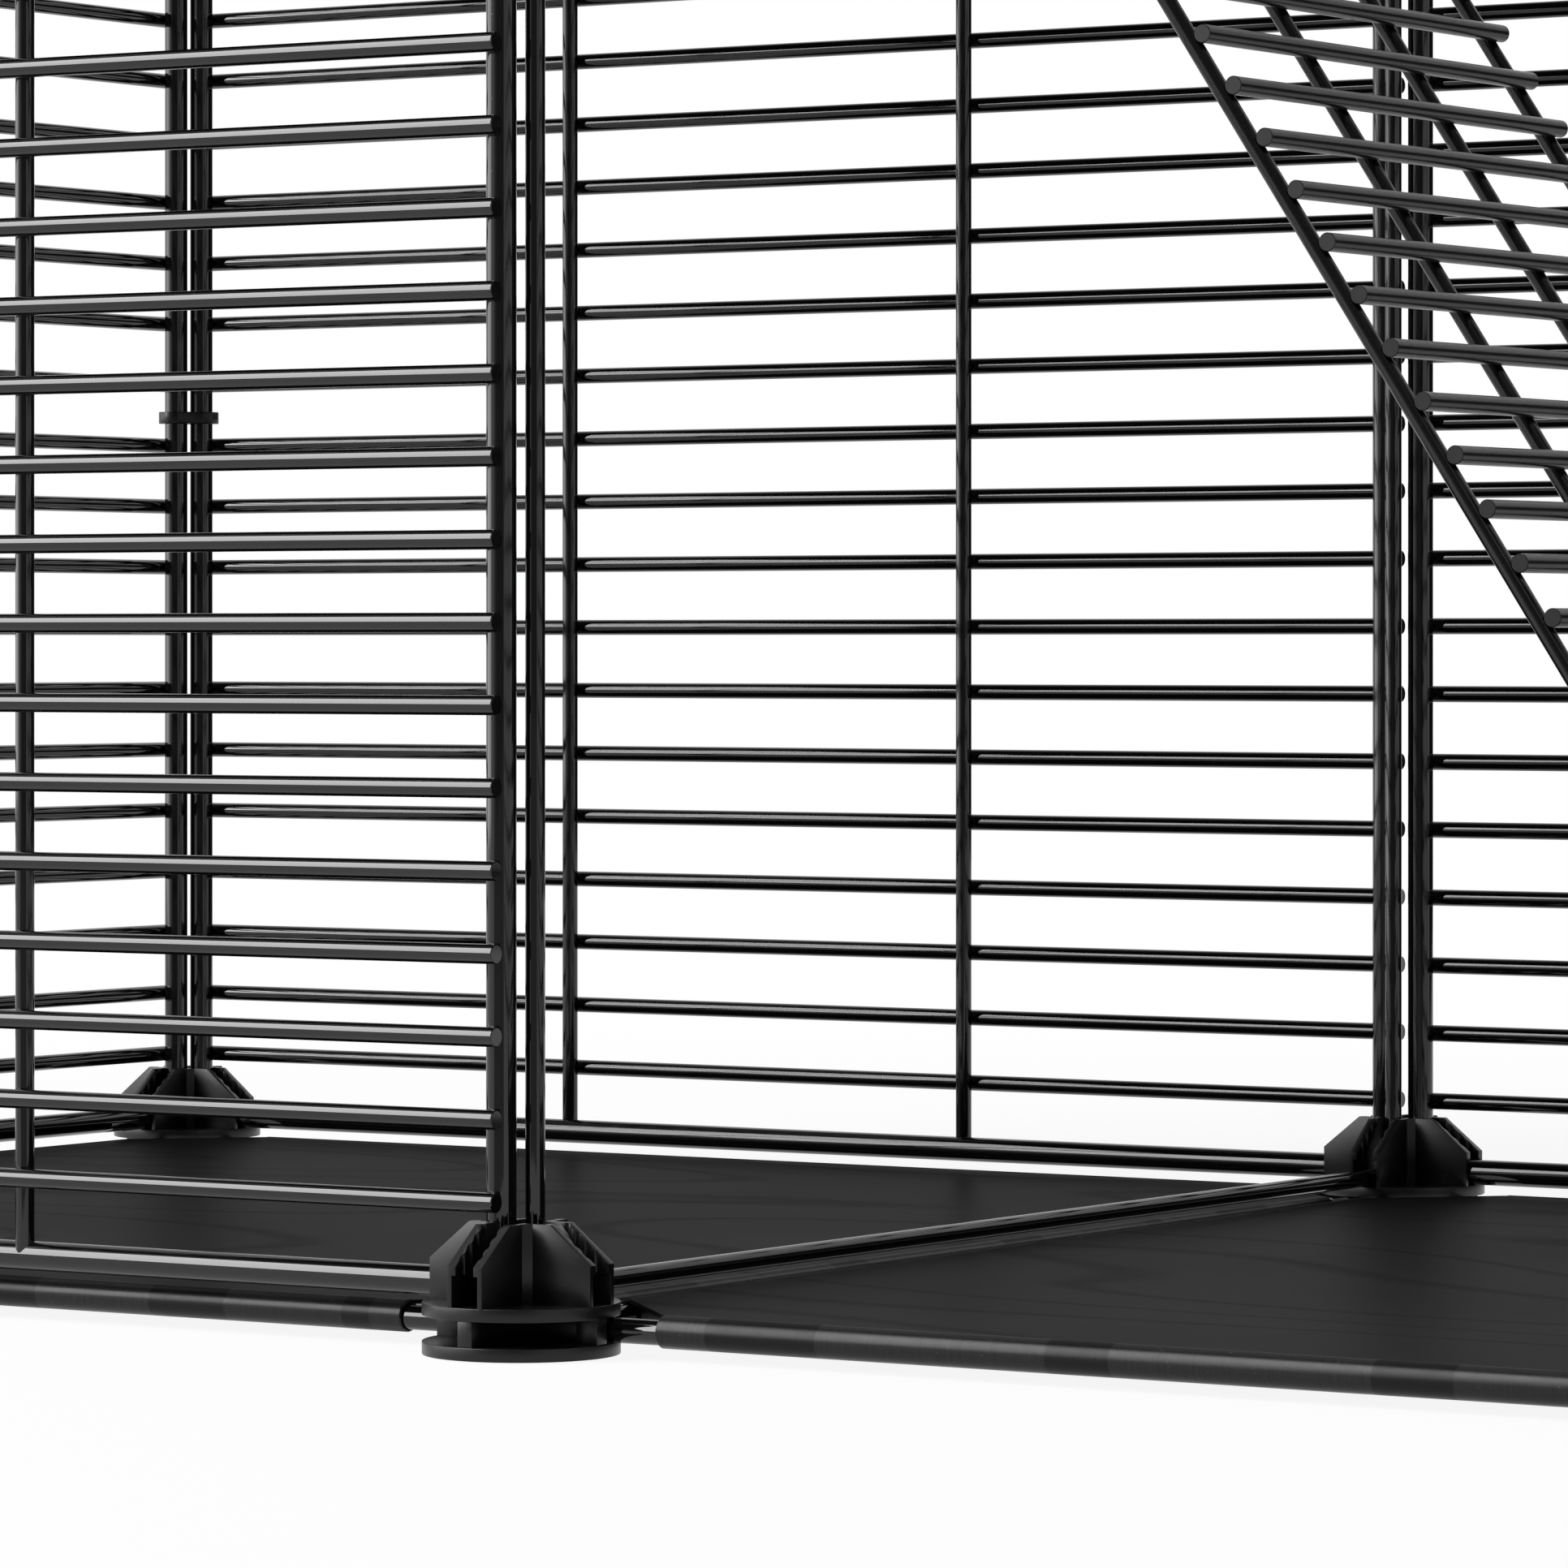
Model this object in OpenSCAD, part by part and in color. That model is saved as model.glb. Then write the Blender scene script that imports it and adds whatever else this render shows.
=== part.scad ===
// A two storey cat cage that is clipped together from welded wire panels, moulded connectors
// and floor panels of plastic sheet on a wire frame. It is two bays wide, one deep and two high.
// The origin is under the foot of the front middle post. X runs along the front to the right,
// Y runs to the back, and Z runs up.

/* [Wire panels] */
// Outer width and height of a wire panel
panel_w = 350; // [320:1:380]
// Diameter of the frame wire round a panel
frame_d = 5.8; // [5.4:0.1:6.2]
// Diameter of the thin rows and uprights
thin_d = 3.8; // [3.4:0.1:4.2]
// Number of thin rows between the bottom and the top of a wall panel
rows = 21; // [17:1:22]
// Number of thin uprights in a panel
uprights = 2; // [1:1:4]
// Bend radius of the frame wire at a panel's corners, at its axis
bend_r = 9; // [8:0.5:12]
// Depth that a row sinks into the frame wire where it is welded
weld = 0.4; // [0.3:0.05:0.5]
// Depth that a row sinks into a thin upright where it is welded
thin_weld = 0.3; // [0.2:0.05:0.35]
// Length of a row past the axis of the frame wire
row_over = 2; // [1.6:0.1:2.4]
// Clearance between a roof panel's first row and the connectors' discs
disc_clear = 0.25; // [0.2:0.05:0.5]

/* [Connectors] */
// Diameter of a connector's discs
disc_d = 37.6; // [35:0.2:38.2]
// Thickness of the foot disc and of the cap disc
foot_t = 2.5; // [2:0.1:4]
// Thickness of a disc that has fins on it
disc_t = 2.5; // [2:0.1:4]
// Chamfer of a disc's rim
rim_chamfer = 0.15; // [0.1:0.05:0.6]
// Thickness of the blocks that hold floor panels apart, at the ends of the crossed webs
web_t = 3.3; // [2.6:0.1:4]
// Length of such a block
web_block_l = 4.8; // [3:0.1:6]
// Thickness of the webs between the blocks
web_core_t = 1.6; // [1.2:0.1:2.4]
// Reach of the webs and fins from the post's axis
fin_reach = 18.5; // [17:0.1:18.6]
// Thickness of a fin beside the wire that it holds
fin_t = 1; // [0.9:0.05:1.4]
// Depth of the lips with which two fins close over their wire
lip_t = 0.9; // [0.5:0.05:1]
// Height of the fins over their disc
fin_h = 15; // [11:0.5:15]
// Height of a fin's outer edge below its chamfer
fin_edge_h = 7.7; // [5:0.1:9]
// Distance from the post's axis at which the chamfer of a fin starts
fin_flat_r = 9.3; // [7:0.1:12]
// Width of the sloped strip in the corner between two pairs of fins
strip_w = 2; // [1:0.1:3]
// Number of grip grooves in a lip
grooves = 4; // [2:1:5]
// Diameter of the round tool that cuts a groove
groove_d = 2; // [1.4:0.1:2.2]
// Depth of a groove
groove_depth = 0.4; // [0.2:0.05:0.45]
// Distance between two grooves
groove_pitch = 2.3; // [2.1:0.1:2.6]
// Play between a wire and the plastic that holds it
fit = 0.05; // [0.03:0.01:0.1]

/* [Floor panels] */
// Diameter of the wire bent round a floor panel or a roof panel
floor_wire_d = 4.8; // [4.6:0.1:5.6]
// Wall of the plastic sleeve round the floor's wire
sleeve_t = 0.45; // [0.3:0.05:0.8]
// Extra height of the sleeve on top, where the sheet's flap is welded
flap_t = 0.5; // [0.3:0.05:0.8]
// Thickness of the plastic sheet
sheet_t = 0.8; // [0.6:0.1:1.2]
// Height of the underside of the sheet over the axis of its wires
sheet_rise = 2.5; // [2.3:0.05:2.55]
// Distance along a wire from the panel's corner to the start of its sleeve
corner_cut = 24.8; // [19.5:0.1:30]

/* [Ladder] */
// Length of a rung
ladder_w = 140; // [100:1:180]
// Distance of the ladder's middle from the front posts
ladder_y = 175.4; // [150:0.2:200]
// Slope of the ladder from the floor
ladder_slope = 56.3; // [54:0.1:62]
// Diameter of a rail
rail_d = 3.5; // [3:0.1:4]
// Diameter of a rung
rung_d = 3.7; // [3:0.1:4.2]
// Distance between two rungs
rung_pitch = 12.44; // [11:0.01:16]
// Distance of the first rung from the hooks along the slope
rung_first = 11; // [10:0.1:20]
// Distance of an outer rail from the ends of the rungs
rail_inset = 1.5; // [1.2:0.1:6]
// Gap between the ladder's feet and the floor
foot_gap = 0.3; // [0.2:0.05:0.5]

/* [Doors] */
// Angle at which the lower door stands open
door_angle = 110; // [100:1:120]
// Distance between the hinge wire and the door's own upright
hinge_c = 9; // [8.8:0.1:10]
// Distance between the middle post's axis and the free edge of the closed door
door_gap = 9; // [8.5:0.1:10]
// Distance by which the door's rows pass the free edge and close on the post
stop_over = 10; // [9.6:0.1:10.4]
// Running clearance of a hinge ring on its wire
hinge_play = 0.06; // [0.04:0.01:0.09]
// Wall of a hinge link
link_wall = 1.6; // [1.4:0.1:2]
// Height of a hinge link
link_h = 8; // [6:0.5:9]
// Width of the slit that lets a hinge ring snap onto its wire
link_slit = 1.4; // [1:0.1:1.6]
// Diameter of the sliding bolt
bolt_d = 4; // [3.6:0.1:4.2]
// Travel of the sliding bolt
bolt_travel = 12; // [12:0.5:13]
// Distance by which the drawn back bolt sticks out past the door's free wire
bolt_out = 5; // [4:0.1:5]
// Length of the bolt block along the door
block_l = 36; // [34:1:42]

/* [Ring ties] */
// Wall of a ring tie
tie_wall = 1.5; // [1.2:0.1:1.8]
// Height of a ring tie
tie_h = 3; // [2:0.5:6]

/* [Hidden] */
$fn = 48;
wire_r = frame_d / 2;
thin_r = thin_d / 2;
floor_r = floor_wire_d / 2;

// A panel from wire axis to wire axis, and the places of its thin wires
panel_c = panel_w - frame_d;
pitch = panel_c / (rows + 1);
row_out = wire_r + thin_r - weld;
upright_out = row_out - thin_d + thin_weld;

// A wire stands this far from the axis of its post
seat_r = web_t / 2 + fit + wire_r;
post_pitch = panel_c + 2 * seat_r;
roof_rows = floor(panel_c / (disc_d / 2 + disc_clear + thin_r - seat_r)) - 1;

// Space between a wire's corner and the lips of the fins round it
lip_clear = 0.15;

// Levels of one storey, from the underside of the foot
slot_w = floor_wire_d + 2 * fit;
fin_slot = frame_d + 2 * fit;
floor_z = foot_t + slot_w / 2;
seat_z = foot_t + slot_w + disc_t;
wall_z = seat_z + fit + wire_r;
storey_h = panel_c + frame_d + 2 * fit + 2 * disc_t + slot_w;
divider_h = storey_h - slot_w - 2 * disc_t - 2 * fit - thin_d;
divider_z = seat_z + fit + thin_r;

// The floor's sleeve and sheet
sleeve_r = floor_r + fit + sleeve_t + flap_t / 2;
sheet_top = sheet_rise + sheet_t;

// The ladder hangs on the bottom wire of the upper divider
hook_z = storey_h + divider_z;
hook_r = thin_r + fit + rail_d / 2;
rung_out = hook_r + rail_d / 2 + rung_d / 2 - thin_weld;
ladder_foot_z = floor_z + sheet_top + foot_gap + cos(ladder_slope) * rail_d / 2;
rail_l = (hook_z + hook_r * cos(ladder_slope) - ladder_foot_z) / sin(ladder_slope);
rungs = floor((rail_l - rung_first - rung_d) / rung_pitch) + 1;
rails = 4;

// A door fills the rows between the fins of the connectors
door_z = wall_z + pitch;
door_h = (rows - 1) * pitch;
door_c = post_pitch - hinge_c - door_gap;
free_x = hinge_c + door_c;
link_r = wire_r + fit + link_wall;
link_rows = 2.5;

// The bolt runs behind the free wire of the door
bolt_y = wire_r + 0.15 + bolt_d / 2;
bolt_z = door_z + (floor((rows - 1) / 2) - 0.5) * pitch;
bolt_tip = free_x + bolt_out;
bolt_bend = 4;
grip_l = 20;
block_end = free_x - 8;
block_wall = 1.4;
block_chamfer = 1;
guide_l = 12;
bolt_play = 0.06;
grip_x = block_end - guide_l - 1 - bolt_bend - bolt_travel;

// The ring ties sit between two rows, a little above the middle of the panel
tie_z = wall_z + (floor(rows / 2) + 1.45) * pitch;

posts_x = [-post_pitch, 0, post_pitch];
posts_y = [0, post_pitch];
COLUMNS = ["left", "middle", "right"];
LINES = ["front", "back"];
LEVELS = ["foot", "middle", "top"];

wire_black = [0.07, 0.07, 0.07];
abs_black = [0.1, 0.1, 0.1];
sheet_black = [0.13, 0.13, 0.13];
ladder_grey = [0.2, 0.2, 0.2];

function connector_name(level, line, column) =
    str(LINES[line], "_", COLUMNS[column], "_", LEVELS[level], "_connector");

// Round wire along +X
module rod_x(d, l) {
    rotate([0, 90, 0]) cylinder(d = d, h = l);
}

// A closed frame of bent round wire in the XZ plane, from axis to axis
module wire_loop(w, h, d, r) {
    for (side = [0, 1]) {
        translate([side * w, 0, r]) cylinder(d = d, h = h - 2 * r);
        translate([r, 0, side * h]) rod_x(d, w - 2 * r);
    }
    for (corner = [[r, r, 180], [w - r, r, 270], [w - r, h - r, 0], [r, h - r, 90]])
        translate([corner[0], 0, corner[1]]) rotate([90, 0, 0])
            rotate_extrude(angle = 90, start = corner[2]) translate([r, 0]) circle(d = d);
}

// A welded mesh panel in the XZ plane: the rows lie on its outer side, towards -Y
module wire_mesh(w, h, count, over_start = row_over, over_end = row_over, d = frame_d) {
    less = (frame_d - d) / 2;
    wire_loop(w, h, d, bend_r);
    for (i = [1:uprights])
        translate([i * w / (uprights + 1), less - upright_out, 0]) cylinder(d = thin_d, h = h);
    for (i = [1:count])
        translate([-over_start, less - row_out, i * h / (count + 1)])
            rod_x(thin_d, w + over_start + over_end);
}

module wall_panel() {
    color(wire_black) translate([seat_r, 0, wall_z]) wire_mesh(panel_c, panel_c, rows);
}

// Front panels face -Y, back panels +Y, and side panels the left or the right
module front_panel(storey) {
    translate([-post_pitch, 0, storey * storey_h]) wall_panel();
}

module back_panel(storey, bay) {
    translate([bay * post_pitch, post_pitch, storey * storey_h]) rotate([0, 0, 180]) wall_panel();
}

module left_side_panel(storey) {
    translate([-post_pitch, post_pitch, storey * storey_h]) rotate([0, 0, -90]) wall_panel();
}

module right_side_panel(storey) {
    translate([post_pitch, 0, storey * storey_h]) rotate([0, 0, 90]) wall_panel();
}

// A roof panel lies in the gap of the top connectors with its rows on top
module roof_panel(bay) {
    color(wire_black) translate([(bay - 1) * post_pitch + seat_r, seat_r, floor_z + 2 * storey_h])
        rotate([-90, 0, 0]) wire_mesh(panel_c, panel_c, roof_rows, d = floor_wire_d);
}

// An open frame of thin wire between the two bays
module divider_frame(storey) {
    color(wire_black) translate([0, seat_r, storey * storey_h + divider_z]) rotate([0, 0, 90])
        wire_loop(panel_c, divider_h, thin_d, bend_r - 2);
}

// A disc with chamfered rims, from z = 0 up
module disc(t) {
    r = disc_d / 2;
    c = rim_chamfer;
    rotate_extrude() polygon([[0, 0], [r - c, 0], [r, c], [r, t - c], [r - c, t], [0, t]]);
}

// One quarter of the fins in plan: two plates that meet in a sloped strip
module fin_quarter() {
    inner = fin_slot / 2;
    outer = inner + fin_t;
    strip = outer + strip_w / sqrt(2);
    polygon([[inner, inner], [fin_reach, inner], [fin_reach, outer], [strip, outer],
             [outer, strip], [outer, fin_reach], [inner, fin_reach]]);
}

// The lip of one fin, which leaves room for the bent corner of the panel's frame wire
module lip() {
    x = seat_r + wire_r + lip_clear;
    z = 2 * wire_r + fit + lip_clear;
    translate([0, fin_slot / 2 + fin_t / 2, 0]) rotate([90, 0, 0]) linear_extrude(lip_t + fin_t / 2)
        polygon([[fin_reach, fin_h], [x, fin_h], [seat_r + bend_r, z], [fin_reach, z]]);
}

// Four pairs of fins that grip the wires of the wall panels, from z = 0 up
module fins() {
    first_groove = fin_reach - groove_pitch;
    groove_y = fin_slot / 2 - lip_t + groove_depth - groove_d / 2;
    difference() {
        for (turn = [0:90:270]) rotate([0, 0, turn]) {
            linear_extrude(fin_h) fin_quarter();
            lip();
            mirror([0, 1, 0]) lip();
        }
        for (turn = [0:90:270]) rotate([0, 0, turn]) {
            translate([0, disc_d / 4, 0]) rotate([90, 0, 0]) linear_extrude(disc_d / 2)
                polygon([[fin_flat_r, fin_h], [fin_reach, fin_edge_h], [disc_d, fin_edge_h],
                         [disc_d, 2 * fin_h], [fin_flat_r, 2 * fin_h]]);
            for (i = [0:grooves - 1], side = [-1, 1])
                translate([first_groove - i * groove_pitch, side * groove_y, -1])
                    cylinder(d = groove_d, h = fin_h + 2, $fn = 24);
        }
    }
}

// The half of a connector above the floor panels' plane: a finned disc or a plain cap
module connector_half(finned) {
    translate([0, 0, slot_w / 2]) {
        disc(finned ? disc_t : foot_t);
        if (finned) translate([0, 0, disc_t]) fins();
    }
}

// A whole connector, with its crossed webs in the floor panels' plane
module connector(fins_up, fins_down) {
    connector_half(fins_up);
    mirror([0, 0, 1]) connector_half(fins_down);
    for (turn = [0, 90]) rotate([0, 0, turn])
        cube([2 * fin_reach - web_block_l, web_core_t, slot_w], center = true);
    for (turn = [0:90:270]) rotate([0, 0, turn])
        translate([fin_reach - web_block_l, -web_t / 2, -slot_w / 2]) cube([web_block_l, web_t, slot_w]);
}

module placed_connector(level, line, column) {
    color(abs_black)
        translate([posts_x[column], posts_y[line], floor_z + level * storey_h])
            connector(level < 2, level > 0);
}

// The bare wire frame of a floor panel, in the XY plane of its axis
module floor_frame(bay, level) {
    color(wire_black) translate([(bay - 1) * post_pitch + seat_r, seat_r, floor_z + level * storey_h])
        rotate([-90, 0, 0]) wire_loop(panel_c, panel_c, floor_wire_d, bend_r);
}

// The four straight wires of a floor panel as rods that stop short of its corners
module floor_rods(r, start) {
    for (side = [0, 1]) {
        translate([start, side * panel_c, 0]) rod_x(2 * r, panel_c - 2 * start);
        translate([side * panel_c, start, 0]) rotate([-90, 0, 0])
            cylinder(r = r, h = panel_c - 2 * start);
    }
}

// Plastic sheet with cut corners, wrapped round the four wires of its frame
module floor_sheet(bay, level) {
    c = corner_cut;
    e = panel_c;
    color(sheet_black) translate([(bay - 1) * post_pitch + seat_r, seat_r, floor_z + level * storey_h])
        difference() {
            union() {
                translate([0, 0, sheet_rise]) linear_extrude(sheet_t)
                    polygon([[c, 0], [e - c, 0], [e, c], [e, e - c],
                             [e - c, e], [c, e], [0, e - c], [0, c]]);
                translate([0, 0, flap_t / 2]) floor_rods(sleeve_r, c);
            }
            floor_rods(floor_r + fit, c / 2);
        }
}

// A straight rail along +X, from a distance past the hook's end
module straight_rail(from) {
    translate([from, 0, hook_r]) rod_x(rail_d, rail_l - from);
}

// A rail that ends in a hook round the divider's wire, whose axis is the origin
module hooked_rail() {
    rotate([90, 0, 0]) rotate_extrude(angle = 90 + ladder_slope, start = 90)
        translate([hook_r, 0]) circle(d = rail_d);
    straight_rail(0);
}

// Four long rails with rungs welded across their upper side, drawn level and then sloped
module ladder() {
    rail_span = ladder_w - 2 * rail_inset;
    color(ladder_grey) translate([0, ladder_y, hook_z]) rotate([0, ladder_slope, 0]) {
        for (i = [0:rails - 1]) translate([0, (i / (rails - 1) - 0.5) * rail_span, 0])
            if (i == 0 || i == rails - 1) hooked_rail();
            else straight_rail(rung_first - row_over);
        for (i = [0:rungs - 1])
            translate([rung_first + i * rung_pitch, ladder_w / 2, rung_out])
                rotate([90, 0, 0]) cylinder(d = rung_d, h = ladder_w);
    }
}

// A long round body about two wires that stand at seat_r along +X and +Y
module tie_body(r, neck, h) {
    translate([seat_r, 0, 0]) cylinder(r = r, h = h, center = true);
    translate([0, seat_r, 0]) cylinder(r = r, h = h, center = true);
    translate([seat_r / 2, seat_r / 2, 0]) rotate([0, 0, -45])
        cube([seat_r * sqrt(2), 2 * neck, h], center = true);
}

module ring_tie() {
    bore = wire_r + fit;
    difference() {
        tie_body(bore + tie_wall, bore + tie_wall - 0.15, tie_h);
        tie_body(bore, bore - 0.4, 2 * tie_h);
    }
}

// Ring ties hold the two panels of a corner post together where no door hangs
module ring_ties() {
    corners = [[-post_pitch, 0, 0], [post_pitch, post_pitch, 180], [-post_pitch, post_pitch, 270]];
    color(abs_black)
        for (storey = [0, 1], corner = corners)
            translate([corner[0], corner[1], storey * storey_h + tie_z])
                rotate([0, 0, corner[2]]) ring_tie();
}

// Everything on a door is drawn with the hinge wire as Z, the door along +X and its outside at +Y
module on_door(storey) {
    angle = storey == 0 ? door_angle : 0;
    translate([post_pitch, seat_r, storey * storey_h]) rotate([0, 0, 180 + angle]) children();
}

module door(storey) {
    color(wire_black) on_door(storey) translate([hinge_c, 0, door_z])
        mirror([0, 1, 0]) wire_mesh(door_c, door_h, rows - 2, row_over, stop_over);
}

// A link with one ring tight on the door's upright and one that runs on the hinge wire
module hinge_link() {
    difference() {
        union() {
            cylinder(r = link_r, h = link_h);
            translate([hinge_c, 0, 0]) cylinder(r = link_r, h = link_h);
            translate([0, -link_r / 2, 0]) cube([hinge_c, link_r, link_h]);
        }
        translate([0, 0, -1]) cylinder(r = wire_r + hinge_play, h = link_h + 2);
        translate([hinge_c, 0, -1]) cylinder(r = wire_r + fit, h = link_h + 2);
        translate([-2 * link_r, -link_slit / 2, -1]) cube([2 * link_r, link_slit, link_h + 2]);
    }
}

module door_hinge_links(storey) {
    color(abs_black) on_door(storey)
        for (z = [door_z + link_rows * pitch, door_z + door_h - link_rows * pitch])
            translate([0, 0, z - link_h / 2]) hinge_link();
}

// A block that clips on two rows of the door and guides the bolt
module bolt_block(storey) {
    back = bolt_y + bolt_d / 2 + block_wall;
    front = row_out + thin_r + block_wall;
    height = pitch + thin_d + 2 * block_wall;
    start = block_end - block_l;
    slot_start = grip_x - bolt_d / 2 - 1;
    color(abs_black) on_door(storey) translate([0, 0, bolt_z]) difference() {
        translate([start, -back, -height / 2]) cube([block_l, back + front, height]);
        for (side = [-1, 1]) {
            translate([start - 1, row_out, side * pitch / 2]) rod_x(thin_d + 2 * fit, block_l + 2);
            for (y = [-back, front])
                translate([start + block_l / 2, y, side * height / 2]) rotate([45, 0, 0])
                    cube([block_l + 2, block_chamfer * sqrt(2), block_chamfer * sqrt(2)], center = true);
        }
        translate([slot_start, -bolt_y, 0]) rod_x(bolt_d + 2 * bolt_play, block_l + 2);
        translate([slot_start, -bolt_y, -bolt_d / 2 - bolt_play])
            cube([bolt_travel + bolt_bend + bolt_d / 2 + 2, back + front + bolt_y, bolt_d + 2 * bolt_play]);
    }
}

// A bolt of bent round wire: its tip slides behind the post and its grip sticks out of the door
module bolt(storey) {
    run = bolt_tip - grip_x - bolt_bend;
    color(wire_black) on_door(storey) translate([grip_x, -bolt_y, bolt_z]) {
        translate([bolt_bend, 0, 0]) rod_x(bolt_d, run);
        translate([bolt_bend, bolt_bend, 0]) rotate_extrude(angle = 90, start = 180)
            translate([bolt_bend, 0]) circle(d = bolt_d);
        translate([0, bolt_bend, 0]) rotate([-90, 0, 0]) cylinder(d = bolt_d, h = grip_l);
    }
}

for (level = [0:2], line = [0:1], column = [0:2])
    placed_connector(level, line, column);
front_panel(0);  // lower_front_panel
back_panel(0, 0);  // lower_back_left_panel
back_panel(0, 1);  // lower_back_right_panel
left_side_panel(0);  // lower_left_side_panel
right_side_panel(0);  // lower_right_side_panel
front_panel(1);  // upper_front_panel
back_panel(1, 0);  // upper_back_left_panel
back_panel(1, 1);  // upper_back_right_panel
left_side_panel(1);  // upper_left_side_panel
right_side_panel(1);  // upper_right_side_panel
roof_panel(0);  // left_roof_panel
roof_panel(1);  // right_roof_panel
divider_frame(0);  // lower_divider_frame
divider_frame(1);  // upper_divider_frame
floor_frame(0, 0);  // left_floor_frame
floor_sheet(0, 0);  // left_floor_sheet
floor_frame(1, 0);  // right_floor_frame
floor_sheet(1, 0);  // right_floor_sheet
floor_frame(0, 1);  // platform_frame
floor_sheet(0, 1);  // platform_sheet
ladder();
ring_ties();
door(0);  // lower_door
door_hinge_links(0);  // lower_door_hinge_links
bolt_block(0);  // lower_bolt_block
bolt(0);  // lower_bolt
door(1);  // upper_door
door_hinge_links(1);  // upper_door_hinge_links
bolt_block(1);  // upper_bolt_block
bolt(1);  // upper_bolt
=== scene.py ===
from itertools import product
from math import cos, pi, radians, sin, sqrt
from types import SimpleNamespace

import bmesh
import bpy
from bpy.props import FloatProperty, FloatVectorProperty, IntProperty, PointerProperty
from bpy.types import Operator, Panel, PropertyGroup
from mathutils import Matrix, Vector


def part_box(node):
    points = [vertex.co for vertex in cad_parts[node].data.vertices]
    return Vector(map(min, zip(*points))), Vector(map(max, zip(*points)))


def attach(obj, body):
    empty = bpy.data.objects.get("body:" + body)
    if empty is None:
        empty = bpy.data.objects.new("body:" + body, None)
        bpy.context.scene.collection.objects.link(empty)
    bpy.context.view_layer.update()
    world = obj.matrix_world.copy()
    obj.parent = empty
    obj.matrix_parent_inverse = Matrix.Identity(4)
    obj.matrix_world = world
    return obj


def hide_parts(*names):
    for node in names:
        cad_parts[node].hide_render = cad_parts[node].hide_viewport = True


bl_info = {
    "name": "Cat Cage",
    "version": (1, 0, 0),
    "blender": (4, 5, 0),
    "location": "View3D > Sidebar > Cat Cage",
    "description": "Builds a two-storey wire cat cage that is clipped together from mesh panels",
    "category": "Add Mesh",
}

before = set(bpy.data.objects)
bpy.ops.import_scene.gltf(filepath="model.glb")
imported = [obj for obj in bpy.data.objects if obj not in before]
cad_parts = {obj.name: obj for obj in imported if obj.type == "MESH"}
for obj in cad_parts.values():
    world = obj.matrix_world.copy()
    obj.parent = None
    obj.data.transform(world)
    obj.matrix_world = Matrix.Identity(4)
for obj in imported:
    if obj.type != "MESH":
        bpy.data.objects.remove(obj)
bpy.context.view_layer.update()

MM = 0.001


def length_of(node, axis):
    """Length of a CAD node along X, Y or Z, in millimetres."""
    low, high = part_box(node)
    return round((high[axis] - low[axis]) / MM, 3)


def between_middles(first, second, axis):
    """Distance along an axis between the middles of two CAD nodes' boxes, in metres."""
    low, high = [(Vector(a) + Vector(b)) / 2 for a, b in (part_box(first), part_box(second))]
    return round((high - low)[axis], 5)


BOXED_WIDTH = length_of("lower_back_left_panel", 0)
BOXED_FLOOR_WIRE = length_of("left_floor_frame", 2)
BOXED_THIN = length_of("lower_divider_frame", 0)
BOXED_DISC = length_of("front_middle_foot_connector", 0)
BOXED_LADDER = length_of("ladder", 1)
BOXED_POSTS = between_middles("front_middle_foot_connector", "front_right_foot_connector", 0)
BOXED_STOREY = between_middles("lower_front_panel", "upper_front_panel", 2)

LEVELS = ("lower", "upper")
FLOORS = (("left_floor", 0, 0), ("right_floor", 1, 0), ("platform", 0, 1))  # name, bay, level
PLASTIC_CREASE = 32.0  # degrees up to which the moulded plastic is shaded smooth
UP = Vector((0, 0, 1))
WHITE = (1, 1, 1, 1)


def distance(name, description, mm):
    """A length that a user may change, given in millimetres and kept in metres."""
    return FloatProperty(name=name, description=description, default=mm * MM, min=0.0,
                         precision=5, unit="LENGTH", subtype="DISTANCE")


def angle(name, description, degrees):
    """An angle that a user may change."""
    return FloatProperty(name=name, description=description, default=radians(degrees),
                         subtype="ANGLE", unit="ROTATION")


def amount(name, description, default, least=0.0, **limits):
    """A plain number that a user may change."""
    return FloatProperty(name=name, description=description, default=default, min=least, **limits)


def count(name, description, default, least=1):
    """A number of like things that a user may change."""
    return IntProperty(name=name, description=description, default=default, min=least)


def tint(name, description, default):
    """A colour that a user may change."""
    return FloatVectorProperty(name=name, description=description, default=default, size=3,
                               min=0.0, max=1.0, subtype="COLOR")


class WireSettings(PropertyGroup):
    """Sizes of the bent frame wires and of the thin wires welded on them"""

    width: distance("Panel width", "Outer width of a wall panel", BOXED_WIDTH)
    frame_wire: distance("Frame wire", "Diameter of the wire bent round a wall panel", 5.8)
    thin_wire: distance("Thin wire", "Diameter of rows, uprights and dividers", BOXED_THIN)
    bend: distance("Bend radius", "Corner radius of a panel at its wire's axis", 9)
    divider_bend: distance("Divider bend radius", "Radius of a divider's corners", 7)
    rows: count("Rows", "Thin rows in a wall panel", 21)
    roof_rows: count("Roof rows", "Thin rows in a roof panel", 20)
    uprights: count("Uprights", "Thin uprights in a panel", 2)
    weld: distance("Weld depth", "Depth that a row sinks into the frame wire", 0.4)
    thin_weld: distance("Thin weld depth", "Depth of a row in a thin upright", 0.3)
    overhang: distance("Row overhang", "Length of a row past the frame wire's axis", 2)
    burr: distance("Cut edge", "Chamfer left on the cut end of a wire", 0.18)
    coat: tint("Coating", "Colour of the wires' black coating", (0.0028, 0.0028, 0.0029))


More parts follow.
